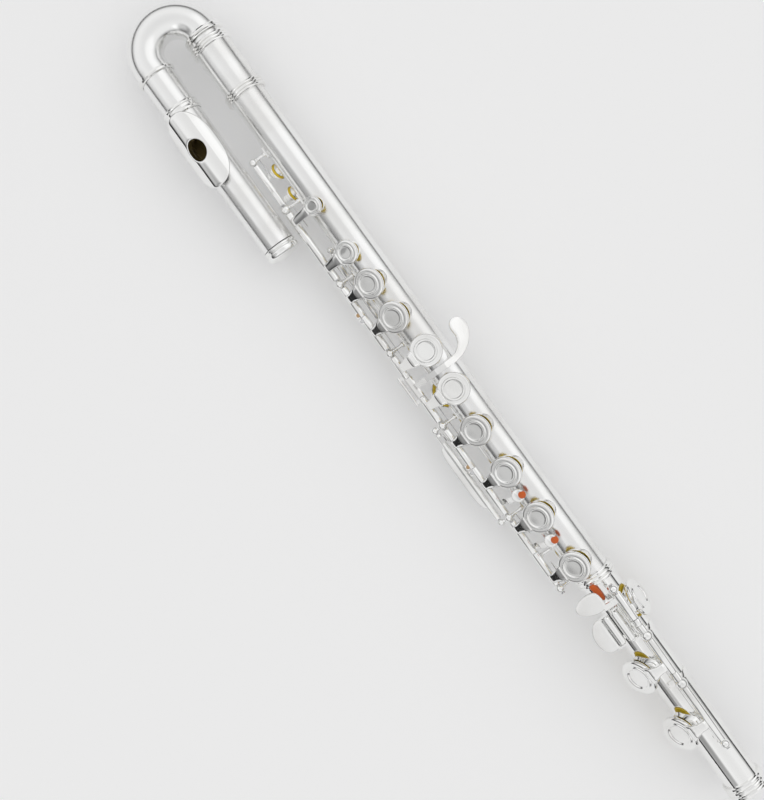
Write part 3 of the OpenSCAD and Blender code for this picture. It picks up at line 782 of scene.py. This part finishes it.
def makeWedge():
    # a felt block under the inner end of the foot's D sharp touch, rounded and tapered
    size, rings = wedge, []
    count = size["segments"]
    for lift, shrink in ((0.0, 0.94), (0.12, 1.0), (0.8, 1.0), (0.95, 0.93), (1.0, 0.8)):
        ring = []
        for k in range(count):
            t = 2 * math.pi * k / count
            c, s = math.cos(t), math.sin(t)
            along = math.copysign(abs(c) ** size["cornerPower"], c)
            wide = size["narrow"] + (size["wide"] - size["narrow"]) * (1 - along) / 2
            across = math.copysign(abs(s) ** size["cornerPower"], s) * wide / 2
            ring.append(
                (
                    size["x"] + along * shrink * size["length"] / 2 * mm,
                    size["y"] + (across * shrink + along * size["skew"]) * mm,
                    (size["foot"] + lift * size["height"]) * mm,
                )
            )
        rings.append(ring)
    return ringsMesh("feltFootTouch", rings)


addPiece("feltFootTouch", makeWedge(), redFelt, "foot")
print("felts made")

# floor, lights and camera

studio = {
    "middle": (-0.27, 0, 0),
    "floorSize": 40.0,
    "floorDrop": 0.5,
    "floorGlow": 0.14,
    "keyPower": 0.5,
    "fillPower": 0.4,
    "world": 1.0,
}
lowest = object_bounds()[0].z
floorPlace = (studio["middle"][0], studio["middle"][1], lowest - studio["floorDrop"] * mm)

bpy.ops.mesh.primitive_plane_add(size=studio["floorSize"], location=floorPlace)
floor = bpy.context.object
floor.name = "studioFloor"
floorPaint, floorTree, floorShader = newMaterial("floorPaper")
floorShader.inputs["Base Color"].default_value = (0.84, 0.84, 0.84, 1.0)
floorShader.inputs["Roughness"].default_value = 0.9
floorShader.inputs["Emission Color"].default_value = (1.0, 1.0, 1.0, 1.0)
floorShader.inputs["Emission Strength"].default_value = studio["floorGlow"]
floor.data.materials.append(floorPaint)


def areaLight(name, place, aim, size, power):
    lamp = bpy.data.lights.new(name, "AREA")
    lamp.shape = "RECTANGLE"
    lamp.size, lamp.size_y = size
    lamp.energy = power
    holder = bpy.data.objects.new(name, lamp)
    holder.location = place
    holder.rotation_euler = (Vector(aim) - Vector(place)).to_track_quat("-Z", "Y").to_euler()
    bpy.context.collection.objects.link(holder)


areaLight("keyLight", (-0.5, 0.7, 0.9), studio["middle"], (1.3, 0.8), studio["keyPower"])
areaLight("fillLight", (-0.1, -0.9, 0.7), studio["middle"], (0.9, 0.5), studio["fillPower"])


def makeWorld():
    world = bpy.data.worlds.new("softRoom")
    bpy.context.scene.world = world
    world.use_nodes = True
    tree = world.node_tree
    background = tree.nodes["Background"]
    place = tree.nodes.new("ShaderNodeTexCoord")
    parts = tree.nodes.new("ShaderNodeSeparateXYZ")
    tree.links.new(place.outputs["Generated"], parts.inputs["Vector"])
    sky = tree.nodes.new("ShaderNodeValToRGB")
    # from straight below, through the dark line round the horizon, to straight above
    stops = [(0.0, 0.75), (0.44, 0.6), (0.49, 0.01), (0.565, 0.03), (0.6, 0.42), (0.7, 0.86)]
    stops += [(0.875, 0.89), (0.96, 0.82), (1.0, 0.77)]
    ramp = sky.color_ramp
    while len(ramp.elements) < len(stops):
        ramp.elements.new(0.5)
    for element, (where, grey) in zip(ramp.elements, stops):
        element.position = where
        element.color = (grey, grey, grey, 1.0)
    height = tree.nodes.new("ShaderNodeMapRange")
    height.inputs["From Min"].default_value = -1.0
    tree.links.new(parts.outputs["Z"], height.inputs["Value"])
    tree.links.new(height.outputs["Result"], sky.inputs["Fac"])
    # a broad dark card on the player's side
    toCard = tree.nodes.new("ShaderNodeVectorMath")
    toCard.operation = "DOT_PRODUCT"
    toCard.inputs[1].default_value = Vector((0.1, -0.87, 0.5)).normalized()
    tree.links.new(place.outputs["Generated"], toCard.inputs[0])
    card = tree.nodes.new("ShaderNodeMapRange")
    card.interpolation_type = "SMOOTHSTEP"
    card.inputs["From Min"].default_value = 0.90
    card.inputs["From Max"].default_value = 0.96
    card.inputs["To Min"].default_value = 1.0
    card.inputs["To Max"].default_value = 0.36
    tree.links.new(toCard.outputs["Value"], card.inputs["Value"])
    shaded = tree.nodes.new("ShaderNodeMix")
    shaded.data_type = "RGBA"
    shaded.blend_type = "MULTIPLY"
    shaded.inputs["Factor"].default_value = 1.0
    tree.links.new(sky.outputs["Color"], shaded.inputs["A"])
    tree.links.new(card.outputs["Result"], shaded.inputs["B"])
    tree.links.new(shaded.outputs["Result"], background.inputs["Color"])
    background.inputs["Strength"].default_value = studio["world"]


makeWorld()
bpy.context.scene.view_settings.view_transform = "Standard"

shot = {"height": 0.600, "centre": (-0.2858, -0.0376), "lens": 50.0, "right": (0.587, 0.810, 0.0)}
cameraData = bpy.data.cameras.new("camera")
cameraData.lens = shot["lens"]
cameraData.sensor_width = 36.0
camera = bpy.data.objects.new("camera", cameraData)
across = Vector(shot["right"]).normalized()
upward = Vector((0, 0, 1)).cross(across)
camera.matrix_world = Matrix(
    (
        (across.x, upward.x, 0.0, shot["centre"][0]),
        (across.y, upward.y, 0.0, shot["centre"][1]),
        (0.0, 0.0, 1.0, shot["height"]),
        (0.0, 0.0, 0.0, 1.0),
    )
)
bpy.context.collection.objects.link(camera)
bpy.context.scene.camera = camera
print("studio ready")
